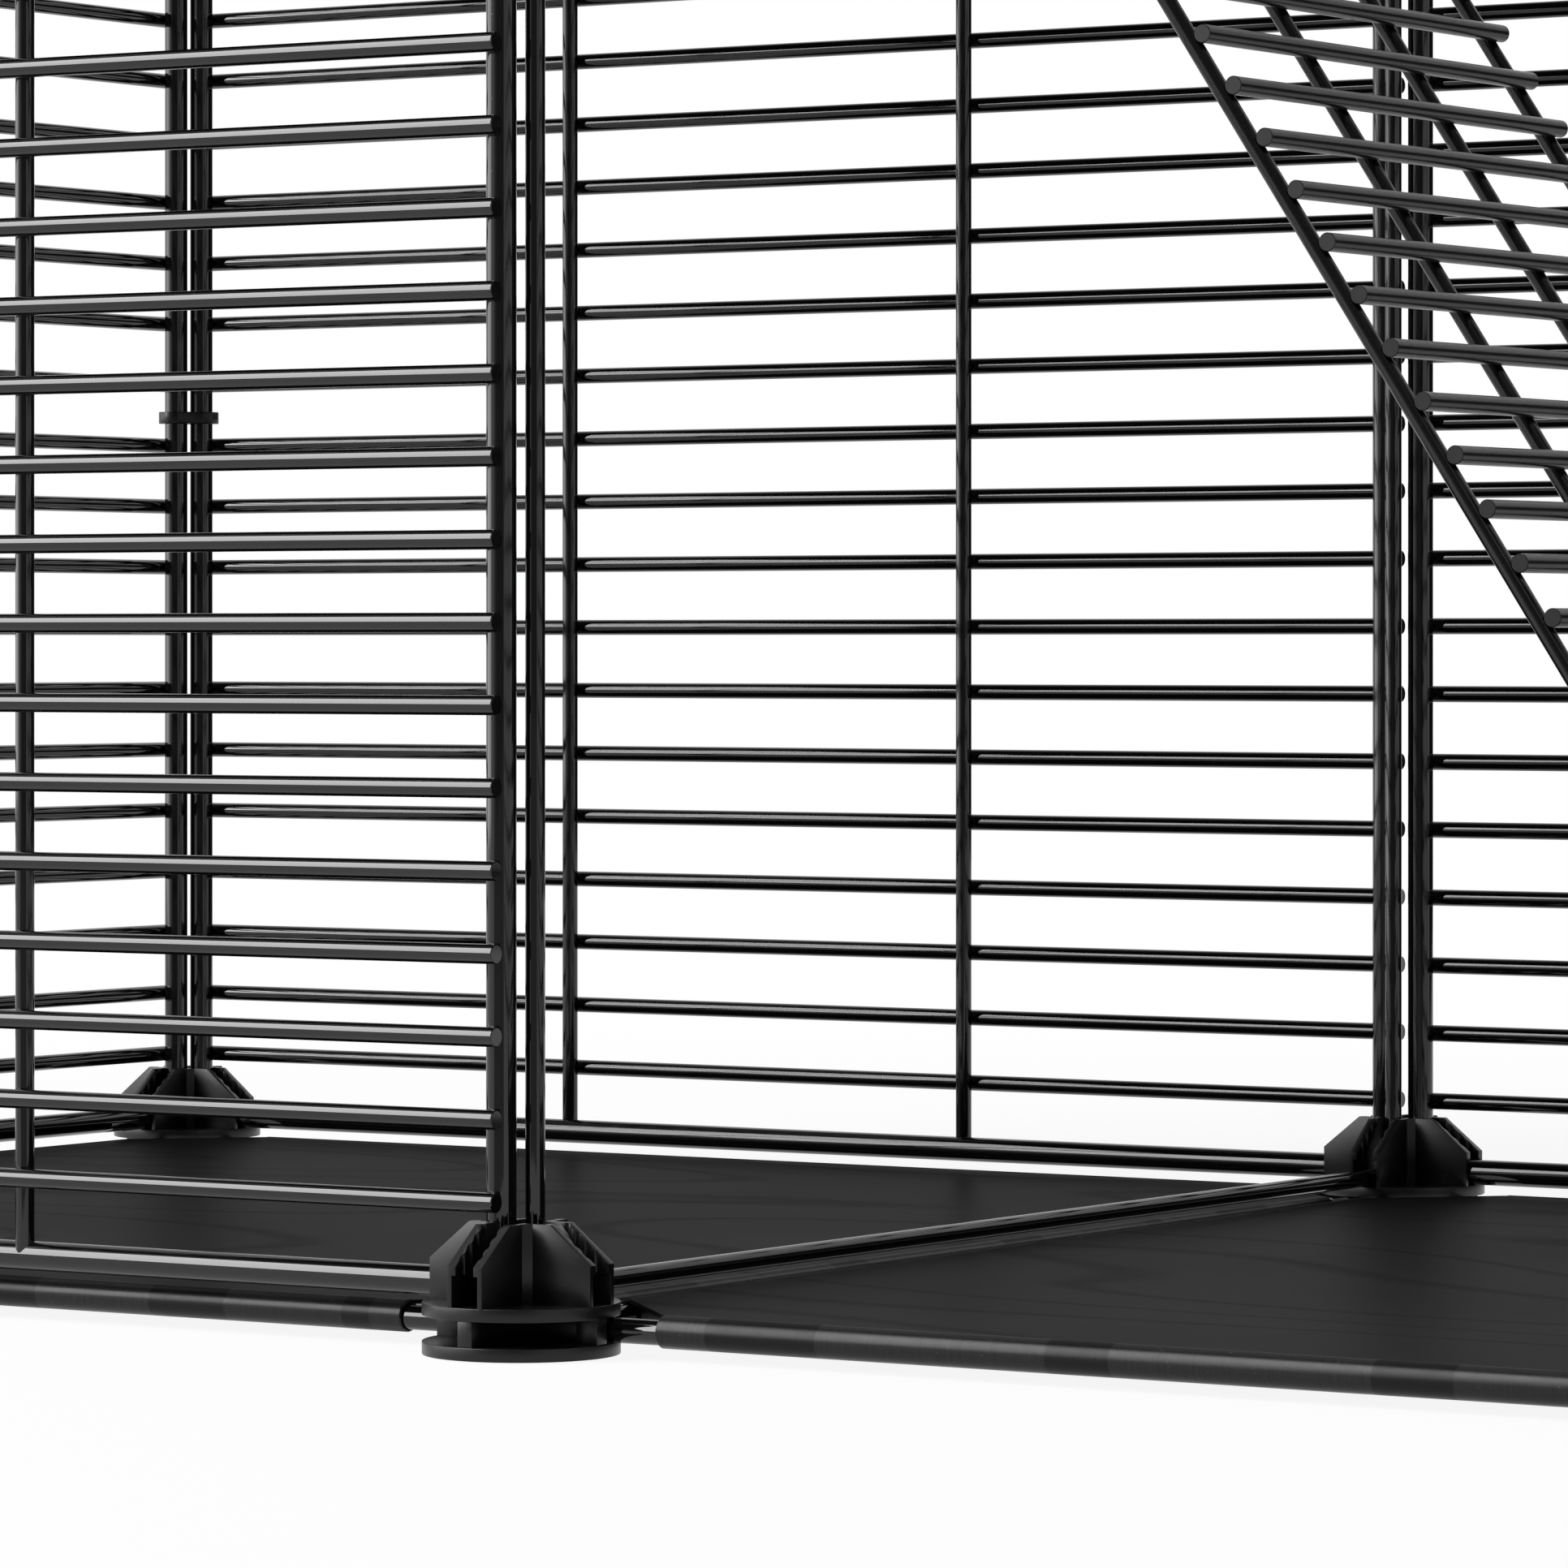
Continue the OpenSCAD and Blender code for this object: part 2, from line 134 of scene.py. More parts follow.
class ConnectorSettings(PropertyGroup):
    """Sizes of the moulded connectors that hold the panels at each post"""

    disc: distance("Disc", "Diameter of a connector's discs", BOXED_DISC)
    disc_thick: distance("Disc thickness", "Thickness of a disc", 2.5)
    rim: distance("Rim rounding", "Rounding of a disc's rim", 0.15)
    web: distance("Web block", "Thickness of the blocks at the webs' ends", 3.3)
    block: distance("Block length", "Length of the block at the end of a web", 4.8)
    core: distance("Web", "Thickness of the webs between their blocks", 1.6)
    reach: distance("Reach", "Reach of the webs and fins from the post's axis", 18.5)
    fin: distance("Fin thickness", "Thickness of a fin beside its wire", 1.0)
    lip: distance("Lip", "Depth of the lips that close over a wire", 0.9)
    lip_clear: distance("Lip clearance", "Space between a wire and the lips", 0.15)
    fin_height: distance("Fin height", "Height of the fins over their disc", 15)
    fin_edge: distance("Fin edge height", "Height of a fin at its outer edge", 7.7)
    fin_flat: distance("Fin flat", "Distance from the axis where a fin starts to slope", 9.3)
    strip: distance("Corner strip", "Width of the sloped strip between the fins", 2)
    grooves: count("Grooves", "Grip grooves in a lip", 4, 0)
    groove: distance("Groove diameter", "Diameter of the tool that cuts a groove", 2)
    groove_depth: distance("Groove depth", "Depth of a groove", 0.4)
    groove_pitch: distance("Groove pitch", "Distance between two grooves", 2.3)
    edge: distance("Edge rounding", "Rounding of the moulded edges", 0.16)
    fit: distance("Fit", "Play between a wire and the plastic round it", 0.05)
    plastic: tint("Plastic", "Colour of the moulded plastic", (0.0034, 0.0034, 0.0035))


class FloorSettings(PropertyGroup):
    """Sizes of the plastic sheets that are wrapped round the floor frames"""

    wire: distance("Wire", "Diameter of a floor or roof panel's wire", BOXED_FLOOR_WIRE)
    sleeve: distance("Sleeve wall", "Wall of the sleeve round the floor's wire", 0.45)
    flap: distance("Flap", "Extra height of the sleeve at the sheet's flap", 0.5)
    sheet: distance("Sheet", "Thickness of the plastic sheet", 0.8)
    rise: distance("Rise", "Height of the sheet's underside over the wires' axis", 2.5)
    cut: distance("Corner cut", "Distance from a corner to the start of a sleeve", 24.8)
    seam: distance("Seam", "Distance between the wire's axis and the welded seam", 4.6)
    colour: tint("Sheet colour", "Colour of the floor sheet", (0.009, 0.009, 0.0092))
    sleeve_colour: tint("Sleeve colour", "Colour of the sheet stretched round the wire",
                        (0.011, 0.011, 0.0112))


class LadderSettings(PropertyGroup):
    """Sizes of the ladder that hangs on the upper divider"""

    width: distance("Width", "Length of a rung", BOXED_LADDER)
    middle: distance("Middle", "Distance of its middle from the front posts", 175.4)
    slope: angle("Slope", "Slope of the ladder from the floor", 56.3)
    rail: distance("Rail", "Diameter of a rail", 3.5)
    rung: distance("Rung", "Diameter of a rung", 3.7)
    pitch: distance("Rung pitch", "Distance between two rungs", 12.44)
    first: distance("First rung", "Distance of the first rung from the hooks", 11)
    inset: distance("Rail inset", "Distance of an outer rail from the rungs' ends", 1.5)
    gap: distance("Foot gap", "Gap between the ladder's feet and the floor", 0.3)
    rails: count("Rails", "Number of rails", 4, 2)
    colour: tint("Coating", "Colour of the rungs' satin coating", (0.014, 0.014, 0.0142))


class DoorSettings(PropertyGroup):
    """Sizes of the mesh doors and their bolts"""

    open: angle("Open", "Angle at which the lower door stands open", 110)
    hinge: distance("Hinge", "Distance from the hinge wire to the door's upright", 9)
    gap: distance("Free gap", "Distance from the middle post to the free edge", 9)
    stop: distance("Stop", "Distance by which the rows pass the free edge", 10)
    bolt: distance("Bolt", "Diameter of the sliding bolt", 4)
    bolt_out: distance("Bolt end", "Length of the drawn back bolt past the free wire", 5)
    bolt_bend: distance("Bolt bend", "Bend radius of the bolt", 4)
    grip: distance("Grip", "Length of the bolt's grip", 20)


class StudioSettings(PropertyGroup):
    """The camera and the soft light"""

    camera: FloatVectorProperty(
        name="Camera", description="Place of the camera", size=3,
        default=(0.7717, -1.0985, 0.13405), subtype="TRANSLATION", unit="LENGTH")
    heading: angle("Heading", "Turn of the camera about the upright axis", 32.97)
    lens: amount("Lens", "Focal length in millimetres", 163.08, 1.0)
    shift: amount("Shift", "Vertical shift for the photograph's crop", -0.0897, -1.0, max=1.0)
    softbox: amount("Softbox", "Brightness of the softbox's face", 7.5)
    fill: amount("Fill", "Level of the light from all round", 0.3)


GROUPS = {"cage_wire": WireSettings, "cage_connector": ConnectorSettings,
          "cage_floor": FloorSettings, "cage_ladder": LadderSettings,
          "cage_door": DoorSettings, "cage_studio": StudioSettings}


def measures():
    """The cage's measures, worked out from the settings in the sidebar."""
    scene = bpy.context.scene
    m = SimpleNamespace(wire=scene.cage_wire, plug=scene.cage_connector, floor=scene.cage_floor,
                        ladder=scene.cage_ladder, door=scene.cage_door,
                        posts=BOXED_POSTS, storey=BOXED_STOREY)
    wire, plug, fit = m.wire, m.plug, m.plug.fit
    m.frame_r = wire.frame_wire / 2
    m.thin_r = wire.thin_wire / 2
    m.floor_r = m.floor.wire / 2
    m.span = wire.width - wire.frame_wire
    m.pitch = m.span / (wire.rows + 1)
    m.row_out = m.frame_r + m.thin_r - wire.weld
    m.upright_out = m.row_out - wire.thin_wire + wire.thin_weld
    m.seat = plug.web / 2 + fit + m.frame_r
    m.slot = m.floor.wire + 2 * fit
    m.fin_slot = wire.frame_wire + 2 * fit
    m.floor_z = plug.disc_thick + m.slot / 2
    m.seat_z = plug.disc_thick * 2 + m.slot
    m.wall_z = m.seat_z + fit + m.frame_r
    m.divider_z = m.seat_z + fit + m.thin_r
    m.divider_high = m.storey - m.slot - 2 * plug.disc_thick - 2 * fit - wire.thin_wire
    m.hook_z = m.storey + m.divider_z
    m.hook_r = m.thin_r + fit + m.ladder.rail / 2
    m.door_z = m.wall_z + m.pitch
    m.door_high = (wire.rows - 1) * m.pitch
    m.door_wide = m.posts - m.door.hinge - m.door.gap
    return m


# Node trees

def arithmetic(operation, swapped=False):
    """The method of an operator such as +, which adds one Math node."""
    def method(self, other):
        pair = (other, self) if swapped else (self, other)
        return self.tree.math(operation, *pair)
    return method


class Number:
    """A value in a node tree. Arithmetic on it adds Math nodes."""

    __add__, __radd__ = arithmetic("ADD"), arithmetic("ADD", True)
    __sub__, __rsub__ = arithmetic("SUBTRACT"), arithmetic("SUBTRACT", True)
    __mul__, __rmul__ = arithmetic("MULTIPLY"), arithmetic("MULTIPLY", True)
    __truediv__ = arithmetic("DIVIDE")

    def __init__(self, tree, socket):
        self.tree = tree
        self.socket = socket

    def math(self, operation, *others):
        return self.tree.math(operation, self, *others)

    def speckle(self, scale, detail, stretch=None):
        """Noise from 0 to 1 at this place, with about scale spots in a metre."""
        add, place = self.tree.add, self
        if stretch:
            place = add("ShaderNodeMapping", {"Vector": self, "Scale": stretch})
        return add("ShaderNodeTexNoise", {"Vector": place, "Scale": scale, "Detail": detail})

    def between(self, low, high):
        """0 below low, 1 above high and a smooth step between them."""
        ends = {"Value": self, "From Min": low, "From Max": high}
        return self.tree.add("ShaderNodeMapRange", ends, interpolation_type="SMOOTHSTEP")


class Tree:
    """A node tree written as calls: each call adds a node and links its inputs."""

    def __init__(self, tree):
        self.tree = tree
        self.nodes = tree.nodes

    def put(self, socket, value):
        if isinstance(value, Number):
            self.tree.links.new(value.socket, socket)
        elif isinstance(value, list):
            for one in value:
                self.tree.links.new(one.socket, socket)
        else:
            socket.default_value = value

    def add(self, kind, inputs=None, out=0, **settings):
        """A new node's output, or several of them where out holds several."""
        node = self.nodes.new(kind)
        for key, value in settings.items():
            setattr(node, key, value)
        for key, value in (inputs or {}).items():
            self.put(node.inputs[key], value)
        if isinstance(out, (int, str)):
            return Number(self, node.outputs[out])
        return [Number(self, node.outputs[one]) for one in out]

    def math(self, operation, *values):
        return self.add("ShaderNodeMath", dict(enumerate(values)), operation=operation)

    def vector(self, x=0.0, y=0.0, z=0.0):
        return self.add("ShaderNodeCombineXYZ", {0: x, 1: y, 2: z})

    def socket(self, name, in_out, kind):
        self.tree.interface.new_socket(name, in_out=in_out, socket_type="NodeSocket" + kind)

    def inlets(self, *names, kind="Float"):
        """New inputs of the whole tree, all of one kind."""
        for name in names:
            self.socket(name, "INPUT", kind)
        return [Number(self, self.nodes["Group Input"].outputs[name]) for name in names]


def shared_tree(build):
    """The geometry tree of the shapes that a function returns, made once and named after it."""
    group = bpy.data.node_groups.get(build.__name__)
    if group:
        return group
    group = bpy.data.node_groups.new(build.__name__, "GeometryNodeTree")
    group.nodes.new("NodeGroupInput")
    tree = Tree(group)
    shape = tree.add("GeometryNodeJoinGeometry", {0: build(tree)})
    material, = tree.inlets("Material", kind="Material")
    shape = tree.add("GeometryNodeRealizeInstances", {"Geometry": shape})
    shape = tree.add("GeometryNodeSetMaterial", {"Geometry": shape, "Material": material})
    tree.socket("Geometry", "OUTPUT", "Geometry")
    tree.put(group.nodes.new("NodeGroupOutput").inputs[0], shape)
    return group


def swept(tree, path, radius, sides, scale, caps):
    """A round wire along a path."""
    ring = tree.add("GeometryNodeCurvePrimitiveCircle", {"Resolution": sides, "Radius": radius})
    return tree.add("GeometryNodeCurveToMesh", {
        "Curve": path, "Profile Curve": ring, "Scale": scale, "Fill Caps": caps})


def cut_rod(tree, length, radius, burr, sides):
    """A straight wire along X about the origin, cut flat at both ends, its burr taken off."""
    line = tree.add("GeometryNodeCurvePrimitiveLine", {
        "Start": tree.vector(length * -0.5), "End": tree.vector(length * 0.5)})
    line = tree.add("GeometryNodeSubdivideCurve", {"Curve": line, "Cuts": 2})
    # Points 0 to 3 stand at -1.5, -0.5, 0.5 and 1.5; the inner two move to the chamfers.
    place = tree.add("GeometryNodeInputIndex") - 1.5
    inner = place.math("ABSOLUTE").math("LESS_THAN", 1.0)
    along = place.math("SIGN") * (length * 0.5 - inner * burr)
    line = tree.add("GeometryNodeSetPosition", {"Geometry": line, "Position": tree.vector(along)})
    ends = 1.0 - (1.0 - inner) * burr / radius
    return swept(tree, line, radius, sides, ends, True)


def repeated(tree, rod, number, start, offset, turn=(0, 0, 0)):
    """A rod turned by these angles at each of a row of points."""
    row = {"Count": number, "Start Location": start, "Offset": offset}
    points = tree.add("GeometryNodeMeshLine", row, mode="OFFSET")
    return tree.add("GeometryNodeInstanceOnPoints", {
        "Points": points, "Instance": rod, "Rotation": turn})


def welded_wire_panel(tree):
    """A frame of bent wire with thin rows and uprights welded on one side of it."""
    width, height, frame_r, bend, thin_r, row_out, upright_out, start, end, burr = tree.inlets(
        "Width", "Height", "Frame Radius", "Bend", "Thin Radius", "Row Out", "Upright Out",
        "Row Start", "Row End", "Burr")
    rows, uprights, sides = tree.inlets("Rows", "Uprights", "Sides", kind="Int")

    size = {"Width": width, "Height": height}
    outline = tree.add("GeometryNodeCurvePrimitiveQuadrilateral", size)
    corners = {"Curve": outline, "Count": 10, "Radius": bend}
    outline = tree.add("GeometryNodeFilletCurve", corners, mode="POLY")
    bent = tree.add("GeometryNodeTransform", {
        "Geometry": swept(tree, outline, frame_r, sides, 1.0, False),
        "Rotation": (pi / 2, 0, 0), "Translation": tree.vector(width / 2, 0, height / 2)})

    step = height / (rows + 1)
    rod = cut_rod(tree, width + end + start, thin_r, burr, sides)
    first = tree.vector((width + end - start) / 2, row_out, step)
    lines = repeated(tree, rod, rows, first, tree.vector(0, 0, step))
    step = width / (uprights + 1)
    rod = cut_rod(tree, height, thin_r, burr, sides)
    first = tree.vector(step, upright_out, height / 2)
    posts = repeated(tree, rod, uprights, first, tree.vector(step), (0, pi / 2, 0))
    return [bent, lines, posts]


def formed_wires_and_rungs(tree):
    """Wires bent along drawn paths, with rungs welded across them where there are any."""
    paths, = tree.inlets("Geometry", kind="Geometry")
    radius, burr, rung_r, rung_long = tree.inlets(
        "Wire Radius", "Burr", "Rung Radius", "Rung Length")
    sides, rungs = tree.inlets("Sides", "Rungs", kind="Int")
    first, step = tree.inlets("First Rung", "Rung Step", kind="Vector")
    paths = tree.add("GeometryNodeMeshToCurve", {"Mesh": paths})
    ends = tree.add("GeometryNodeCurveEndpointSelection")
    wires = swept(tree, paths, radius, sides, 1.0 - ends * burr / radius, True)
    rod = cut_rod(tree, rung_long, rung_r, burr, sides)
    return [wires, repeated(tree, rod, rungs, first, step, (0, 0, pi / 2))]


def linked(name, data):
    """A new object in the scene."""
    thing = bpy.data.objects.new(name, data)
    bpy.context.scene.collection.objects.link(thing)
    return thing


def grown(name, build, values, paths=None):
    """An object with the plain mesh that a function's tree makes from these values."""
    tree = shared_tree(build)
    piece = linked(name, paths or bpy.data.meshes.new(name))
    modifier = piece.modifiers.new("make", "NODES")
    modifier.node_group = tree
    for socket in tree.interface.items_tree:
        if socket.in_out == "INPUT" and socket.name in values:
            modifier[socket.identifier] = values[socket.name]
    graph = bpy.context.evaluated_depsgraph_get()
    shape = bpy.data.meshes.new_from_object(
        piece.evaluated_get(graph), preserve_all_data_layers=True, depsgraph=graph)
    piece.modifiers.remove(modifier)
    shape.materials.clear()
    shape.materials.append(values["Material"])
    shape.polygons.foreach_set("material_index", [0] * len(shape.polygons))
    piece.data = shape
    shape.name = name
    if not len(shape.polygons):
        raise RuntimeError("the tree made no faces for " + name)
    return piece


def drawn(paths):
    """A mesh of bare edges along each path of points."""
    mesh = bpy.data.meshes.new("path")
    points, edges = [], []
    for path in paths:
        edges += [(len(points) + i, len(points) + i + 1) for i in range(len(path) - 1)]
        points += path
    mesh.from_pydata(points, edges, [])
    return mesh


# Materials

def coordinates(tree):
    """Object coordinates as a vector and as three numbers."""
    place = tree.add("ShaderNodeTexCoord", out="Object")
    return place, tree.add("ShaderNodeSeparateXYZ", {0: place}, range(3))


def shaded(tree, colour, level):
    """A colour multiplied by a number."""
    return tree.add("ShaderNodeVectorMath", {0: tuple(colour), "Scale": level}, operation="SCALE")


def bumped(tree, height, depth):
    """A normal from a height of 0 to 1 that stands for depth in metres."""
    return tree.add("ShaderNodeBump", {"Height": height, "Strength": 1.0, "Distance": depth})


def fresh(name):
    """A new material and its node tree."""
    material = bpy.data.materials.new(name)
    material.use_nodes = True
    return material, Tree(material.node_tree)


def surface(recipe):
    """Turns a recipe for the Principled shader's inputs into one shared material of its name."""
    def material():
        known = bpy.data.materials.get(recipe.__name__)
        if known:
            return known
        made, tree = fresh(recipe.__name__)
        for key, value in recipe(tree, measures()).items():
            tree.put(tree.nodes["Principled BSDF"].inputs[key], value)
        return made
    return material


@surface
def black_coating(tree, m):
    """Glossy black coating of the wires, a little uneven where it ran, with fine dust."""
    place, _ = coordinates(tree)
    runs = place.speckle(90, 3)
    grain = place.speckle(1100, 2)
    dust = place.speckle(2600, 1).between(0.66, 0.74)
    return {"Base Color": shaded(tree, m.wire.coat, 0.8 + runs * 0.4 + dust * 1.5),
            "Roughness": 0.04 + runs * 0.03 + dust * 0.1,
            "Normal": bumped(tree, runs * 0.3 + grain * 0.02, 0.008 * MM),
            "Specular IOR Level": 0.5}


@surface
def satin_plastic(tree, m):
    """Satin moulded plastic with a fine spark texture and slight rubbing."""
    place, _ = coordinates(tree)
    grain = place.speckle(3200, 2)
    cloud = place.speckle(160, 4)
    rub = place.speckle(420, 5, (1, 1, 5)).between(0.56, 0.74)
    return {"Base Color": shaded(tree, m.plug.plastic, 0.85 + cloud * 0.3 + rub * 0.35),
            "Roughness": 0.28 + cloud * 0.07 + rub * 0.07,
            "Normal": bumped(tree, grain * 0.4 + cloud * 0.25, 0.007 * MM),
            "Specular IOR Level": 0.33}


def bay_edges(m, x, y):
    """Distances of a point from the middle of its bay, along X and along Y."""
    across = ((x / m.posts).math("FRACT") - 0.5).math("ABSOLUTE") * m.posts
    return across, (y - m.posts / 2).math("ABSOLUTE")


@surface
def dull_sheet(tree, m):
    """Dull black sheet with the pressed seam along its edges, a line of painted shade for the
    groove beside it, and very faint long rings.
    """
    seam_at, groove_at, dot_pitch = m.span / 2 - m.floor.seam, 1.6 * MM, 2.4 * MM
    place, (x, y, _) = coordinates(tree)
    across, deep = bay_edges(m, x, y)
    edge = across.math("MAXIMUM", deep)
    seam = 1.0 - (edge - seam_at).math("ABSOLUTE").between(0.2 * MM, 0.5 * MM)
    # The groove has no relief: it is a line of painted shade, darker in colour only.
    groove = 1.0 - (edge - seam_at - groove_at).math("ABSOLUTE").between(0.1 * MM, 0.4 * MM)
    dots = ((x + y) * (2 * pi / dot_pitch)).math("SINE").between(0.55, 0.95) * seam
    swirl = place.speckle(9, 0, (0.35, 1, 1))
    rings = 1.0 - ((swirl * 8.0).math("PINGPONG", 0.5) * 2.0).between(0.0, 0.22)
    cloud = place.speckle(14, 4)
    grain = place.speckle(2400, 2)
    # groove * 0.05 is the painted shade of the groove.
    tone = 0.96 - rings * 0.09 + cloud * 0.08 + dots * 0.22 - seam * 0.06 - groove * 0.05
    return {"Base Color": shaded(tree, m.floor.colour, tone),
            "Roughness": 0.39 + cloud * 0.06 + rings * 0.04,
            "Normal": bumped(tree, grain * 0.1 + dots * 0.8 - seam * 0.5, 0.02 * MM),
            "Specular IOR Level": 0.003}


@surface
def stretched_sleeve(tree, m):
    """The sheet stretched round the wire: shinier, with fine rings, scratches and rubbed bands.

    Near the sleeve's crown, where it passes into the flat sheet, it is duller.
    """
    _, (x, y, z) = coordinates(tree)
    across, deep = bay_edges(m, x, y)
    side = across.math("GREATER_THAN", deep)
    along = x * (1.0 - side) + y * side
    line = tree.vector(along, 0, 0)
    fine = line.speckle(1500, 4)
    bands = line.speckle(30, 1).between(0.535, 0.54)
    faint = tree.vector(along, z * 0.2, 0).speckle(260, 5)
    cuts = tree.vector(along * 2.2 + z, z * 6.0, 0).speckle(420, 1).between(0.72, 0.76)
    height = (z / m.storey).math("FRACT") * m.storey - m.floor_z
    crown = height.between(2.7 * MM, 3.2 * MM)
    tone = (0.2 + fine * 1.8 + cuts * 3.0) * (1.0 - bands * 0.9)
    return {"Base Color": shaded(tree, m.floor.sleeve_colour, tone),
            "Roughness": 0.22 + faint * 0.14 + bands * 0.06 + cuts * 0.2 + crown * 0.35,
            "Normal": bumped(tree, fine * 0.5 + faint * 0.6 + cuts * 0.3, 0.02 * MM),
            "Specular IOR Level": 0.2}


@surface
def matt_coating(tree, m):
    """Satin black coating of the rungs, duller than the wires' and thin and a little rough."""
    place, _ = coordinates(tree)
    cloud = place.speckle(120, 4)
    grain = place.speckle(2800, 3)
    return {"Base Color": shaded(tree, m.ladder.colour, 0.8 + cloud * 0.4),
            "Roughness": 0.2 + cloud * 0.08,
            "Normal": bumped(tree, grain * 0.4 + cloud * 0.5, 0.01 * MM),
            "Specular IOR Level": 0.3}


# Finishing a piece

def settled(piece, nodes, body, crease=35.0):
    """Faces outwards, smooth up to the crease, and the piece stands for its CAD nodes."""
    shape = bmesh.new()
    shape.from_mesh(piece.data)
    bmesh.ops.recalc_face_normals(shape, faces=shape.faces)
    shape.to_mesh(piece.data)
    shape.free()
    piece.data.shade_smooth()
    piece.data.set_sharp_from_angle(angle=radians(crease))
    if nodes:
        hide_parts(*nodes)
    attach(piece, body)


def made(name, shape, materials):
    """An object from a bmesh."""
    mesh = bpy.data.meshes.new(name)
    shape.to_mesh(mesh)
    shape.free()
    for material in materials:
        mesh.materials.append(material)
    return linked(name, mesh)


def wire_values(m, width, height, rows, uprights, others):
    """Inputs of the panel tree for a panel of this size, from axis to axis."""
    return {"Width": width, "Height": height, "Frame Radius": m.frame_r, "Bend": m.wire.bend,
            "Thin Radius": m.thin_r, "Rows": rows, "Uprights": uprights,
            "Row Out": -m.row_out, "Upright Out": -m.upright_out,
            "Row Start": m.wire.overhang, "Row End": m.wire.overhang,
            "Burr": m.wire.burr, "Sides": 28, "Material": black_coating(), **others}


def floor_values(m, rows, uprights):
    """Inputs of the panel tree for a floor or roof panel, whose wire is thinner."""
    thinner = m.frame_r - m.floor_r
    return wire_values(m, m.span, m.span, rows, uprights, {
        "Frame Radius": m.floor_r, "Row Out": thinner - m.row_out,
        "Upright Out": thinner - m.upright_out})


def panel(name, node, body, matrix, values):
    """A mesh panel, drawn upright with its lower left corner at the origin and then placed."""
    piece = grown(name, welded_wire_panel, values)
    piece.data.transform(matrix)
    settled(piece, [node], body)


def turned(x, y, z, turn):
    """A place turned about the upright axis."""
    return Matrix.Translation((x, y, z)) @ Matrix.Rotation(turn, 4, "Z")


def floor_place(m, bay, level):
    """Place of the corner at which the axes of a floor panel's wires would meet."""
    x = (bay - 1) * m.posts + m.seat
    return Matrix.Translation((x, m.seat, m.floor_z + level * m.storey))


LAID_DOWN = Matrix.Rotation(-pi / 2, 4, "X")


class CATCAGE_OT_wall_panels(Operator):
    """Makes the welded mesh panels of the walls"""
    bl_idname = "catcage.wall_panels"
    bl_label = "Wall Panels"

    def execute(self, context):
        m = measures()
        p = m.posts
        walls = (("front", -p, 0, 0), ("back_left", 0, p, pi), ("back_right", p, p, pi),
                 ("left_side", -p, p, -pi / 2), ("right_side", p, 0, pi / 2))
        values = wire_values(m, m.span, m.span, m.wire.rows, m.wire.uprights, {})
        inwards = Matrix.Translation((m.seat, 0, m.wall_z))
        for storey, level in enumerate(LEVELS):
            for side, x, y, turn in walls:
                name = f"{level}_{side}"
                matrix = turned(x, y, storey * m.storey, turn) @ inwards
                panel(name + "_mesh", name + "_panel", "cage", matrix, values)
        return {"FINISHED"}


class CATCAGE_OT_roof_panels(Operator):
    """Makes the two mesh panels of the roof"""
    bl_idname = "catcage.roof_panels"
    bl_label = "Roof Panels"

    def execute(self, context):
        m = measures()
        values = floor_values(m, m.wire.roof_rows, m.wire.uprights)
        for bay, side in enumerate(("left", "right")):
            matrix = floor_place(m, bay, 2) @ LAID_DOWN
            panel(side + "_roof_mesh", side + "_roof_panel", "cage", matrix, values)
        return {"FINISHED"}


class CATCAGE_OT_dividers(Operator):
    """Makes the two open frames of thin wire between the bays"""
    bl_idname = "catcage.dividers"
    bl_label = "Dividers"

    def execute(self, context):
        m = measures()
        values = wire_values(m, m.span, m.divider_high, 0, 0, {
            "Frame Radius": m.thin_r, "Bend": m.wire.divider_bend})
        for storey, level in enumerate(LEVELS):
            matrix = turned(0, m.seat, storey * m.storey + m.divider_z, pi / 2)
            panel(level + "_divider_wire", level + "_divider_frame", "cage", matrix, values)
        return {"FINISHED"}


class CATCAGE_OT_floor_wires(Operator):
    """Makes the bent wires inside the floor panels and the platform"""
    bl_idname = "catcage.floor_wires"
    bl_label = "Floor Wires"

    def execute(self, context):
        m = measures()
        values = floor_values(m, 0, 0)
        for name, bay, level in FLOORS:
            matrix = floor_place(m, bay, level) @ LAID_DOWN
            panel(name + "_wire", name + "_frame", "cage", matrix, values)
        return {"FINISHED"}


# Floor sheets

def full_turn(sides):
    """The angles of the corners of a round outline."""
    return [2 * pi * k / sides for k in range(sides)]


def skinned(shape, rings):
    """Quads between each closed ring of points and the next one."""
    faces = []
    for under, over in zip(rings, rings[1:]):
        for k in range(len(under)):
            n = (k + 1) % len(under)
            faces.append(shape.faces.new((under[k], under[n], over[n], over[k])))
    return faces


def add_prism(shape, outline, low, high):
    """A closed prism over an outline that runs counter-clockwise."""
    under, over = [[shape.verts.new((x, y, z)) for x, y in outline] for z in (low, high)]
    return [shape.faces.new(under[::-1]), shape.faces.new(over)] + skinned(shape, [under, over])


def add_sleeve(shape, m, start, along, side):
    """A closed tube with slightly rounded rims, whose outside sits a little over its bore."""
    sides, steps, length = 32, 24, m.span - 2 * m.floor.cut
    inner = m.floor_r + m.plug.fit
    outer = inner + m.floor.sleeve + m.floor.flap / 2
    edge = (outer - inner) * 0.3
    profile = [(inner, edge), (inner + edge, 0), (outer - edge, 0), (outer, edge)]
    profile += [(outer, length * i / steps) for i in range(1, steps)]
    profile += [(outer, length - edge), (outer - edge, length), (inner + edge, length),
                (inner, length - edge)]
    rings = []
    for radius, far in profile:
        middle = start + along * far + UP * (m.floor.flap / 2 * (radius - inner) / (outer - inner))
        rings.append([shape.verts.new(middle + (side * cos(a) + UP * sin(a)) * radius)
                      for a in full_turn(sides)])
    for face in skinned(shape, rings + rings[:1]):
        face.material_index = 1


